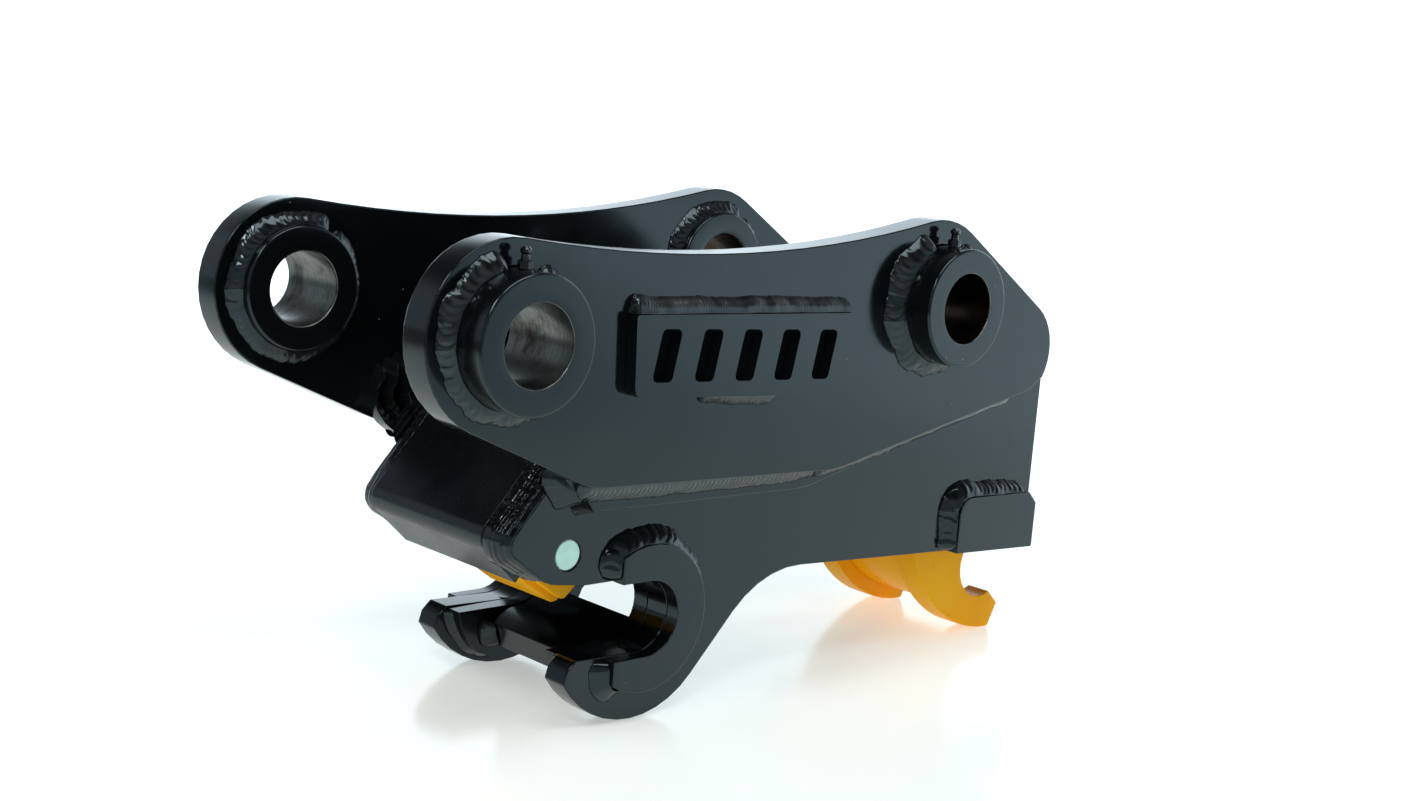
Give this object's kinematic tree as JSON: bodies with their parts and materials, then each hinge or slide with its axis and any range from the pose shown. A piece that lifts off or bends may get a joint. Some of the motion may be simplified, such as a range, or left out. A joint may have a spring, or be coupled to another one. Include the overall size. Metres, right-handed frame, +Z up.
{
  "type": "excavator quick coupler",
  "caption": "Hydraulic pin-grabber quick coupler with dipper and link bores, front hooks with a sprung safety latch, and a cylinder-driven rear latch.",
  "frame": {"origin": "middle of the base, on the surface that the hooks and the rear latch stand on", "axes": "+X to the rear latch, +Y to the far side along the bores, +Z up"},
  "size_m": [0.5788, 0.2816, 0.31],
  "materials": {
    "black_paint": "satin-gloss black paint over welded plate",
    "yellow_paint": "satin amber-yellow paint",
    "bare_steel": "machined, lightly oiled",
    "zinc_plate": "pale zinc plating",
    "bronze": "machined",
    "hard_chrome": "polished",
    "seal_rubber": "matt"
  },
  "bodies": {
    "frame": {"ear_plate_near": "black_paint", "ear_plate_far": "black_paint", "pivot_boss_front_near": "black_paint", "pivot_boss_front_far": "black_paint", "pivot_boss_rear_near": "black_paint", "pivot_boss_rear_far": "black_paint", "bore_bush_front_near": "bare_steel", "bore_bush_front_far": "bare_steel", "bore_bush_rear_near": "bare_steel", "bore_bush_rear_far": "bare_steel", "grease_nipple_front_near": "zinc_plate", "grease_nipple_front_far": "zinc_plate", "grease_nipple_rear_near": "zinc_plate", "grease_nipple_rear_far": "zinc_plate", "side_plate_near": "black_paint", "side_plate_far": "black_paint", "spacer_plate_near": "black_paint", "spacer_plate_far": "black_paint", "hook_cheek_outer_near": "black_paint", "hook_cheek_outer_far": "black_paint", "hook_cheek_inner_near": "black_paint", "hook_cheek_inner_far": "black_paint", "rear_pad_near": "black_paint", "rear_pad_far": "black_paint", "hook_seat": "black_paint", "front_crossmember": "black_paint", "deck_plate": "black_paint", "floor_plate": "black_paint", "rear_saddle": "black_paint", "rear_tie_plate": "black_paint", "name_plate_near": "black_paint", "name_plate_far": "black_paint", "trunnion_bush_near": "bronze", "trunnion_bush_far": "bronze", "cylinder_barrel": "black_paint", "cylinder_gland": "bare_steel", "rod_wiper": "seal_rubber", "lock_valve_block": "zinc_plate", "cylinder_saddle_front": "black_paint", "cylinder_saddle_rear": "black_paint", "front_latch_pin": "zinc_plate", "front_latch_spring_near": "bare_steel", "front_latch_spring_far": "bare_steel"},
    "rear_latch": {"latch_cheek_near": "yellow_paint", "latch_cheek_far": "yellow_paint", "latch_web": "yellow_paint", "latch_trunnion_near": "bare_steel", "latch_trunnion_far": "bare_steel", "trunnion_bolt_near": "zinc_plate", "trunnion_bolt_far": "zinc_plate"},
    "cylinder_ram": {"cylinder_rod": "hard_chrome", "cylinder_piston": "bare_steel", "piston_seal": "seal_rubber", "piston_nut": "bare_steel", "rod_eye": "bare_steel", "rod_pin": "zinc_plate"},
    "front_latch": {"front_latch_flap": "yellow_paint", "front_latch_lug_near": "yellow_paint", "front_latch_lug_far": "yellow_paint"}
  },
  "joints": [
    {"name": "rear_latch_swing", "type": "hinge", "parent": "frame", "child": "rear_latch", "pos_m": [0.18895, 0, 0.205], "axis": [0, 1, 0], "range_deg": [0, 18]},
    {"name": "cylinder_stroke", "type": "slide", "parent": "frame", "child": "cylinder_ram", "axis": [-1, 0, 0], "range_m": [0, 0.027]},
    {"name": "front_latch_swing", "type": "hinge", "parent": "frame", "child": "front_latch", "pos_m": [-0.15115, 0, 0.1088], "axis": [0, -1, 0], "range_deg": [0, 45], "stiffness_Nm_per_rad": 2, "springref_deg": -17.19}
  ],
  "couplings": [
    {"joint": "cylinder_stroke", "follows": "rear_latch_swing", "m_per_rad": 0.08571}
  ]
}
